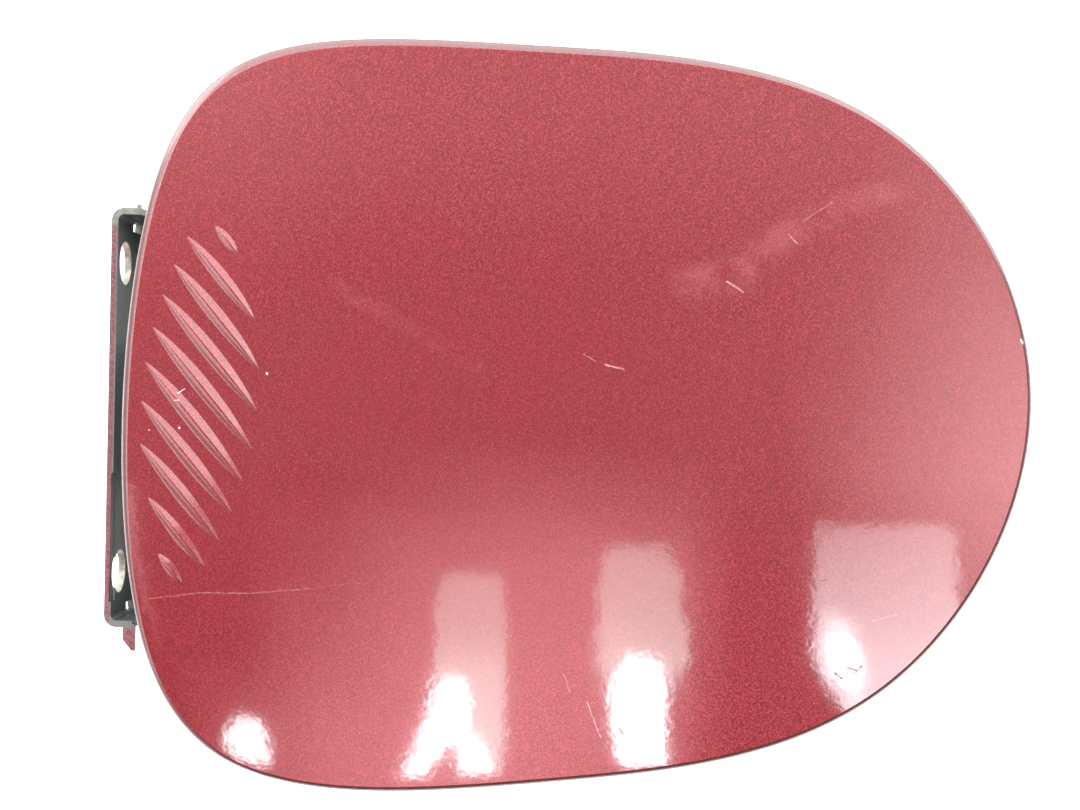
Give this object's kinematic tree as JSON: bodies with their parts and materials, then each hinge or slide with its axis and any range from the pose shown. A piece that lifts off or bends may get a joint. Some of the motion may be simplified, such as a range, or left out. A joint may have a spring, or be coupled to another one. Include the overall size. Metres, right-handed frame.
{
  "type": "car fuel door",
  "caption": "Hemmed steel fuel door with pressed ribs, rocking on a pin in a folded hinge bracket with a detent spring.",
  "frame": {"origin": "middle of the two bolt holes, on the outer face of the bracket's wall", "axes": "+X from the hinge bracket to the door's free edge, +Y along the hinge pin towards the top of the picture, +Z out of the car"},
  "size_m": [0.18, 0.1449, 0.0401],
  "materials": {
    "red_paint": "dark red metallic paint under clear coat, lightly scratched",
    "coated_steel": "grey-green dip coat with red overspray along the edges and specks of rust",
    "zinc_steel": "zinc plated, dull",
    "spring_steel": "blued spring steel",
    "nylon": "natural nylon, matte",
    "rubber": "black moulded rubber"
  },
  "bodies": {
    "bracket": {"hinge_bracket": "coated_steel", "hinge_pin": "zinc_steel", "pin_clip": "spring_steel", "leaf_spring": "spring_steel", "spring_rivets": "zinc_steel"},
    "door": {"outer_skin": "red_paint", "inner_panel": "red_paint", "hinge_arm_upper": "coated_steel", "hinge_arm_lower": "coated_steel", "bush_upper": "nylon", "bush_lower": "nylon", "detent_cam": "nylon", "cam_rivets": "zinc_steel", "buffer_upper": "rubber", "buffer_lower": "rubber"}
  },
  "joints": [
    {"name": "door_hinge", "type": "hinge", "parent": "bracket", "child": "door", "pos_m": [0.03, 0, 0.0075], "axis": [0, -1, 0], "range_deg": [0, 80]}
  ]
}
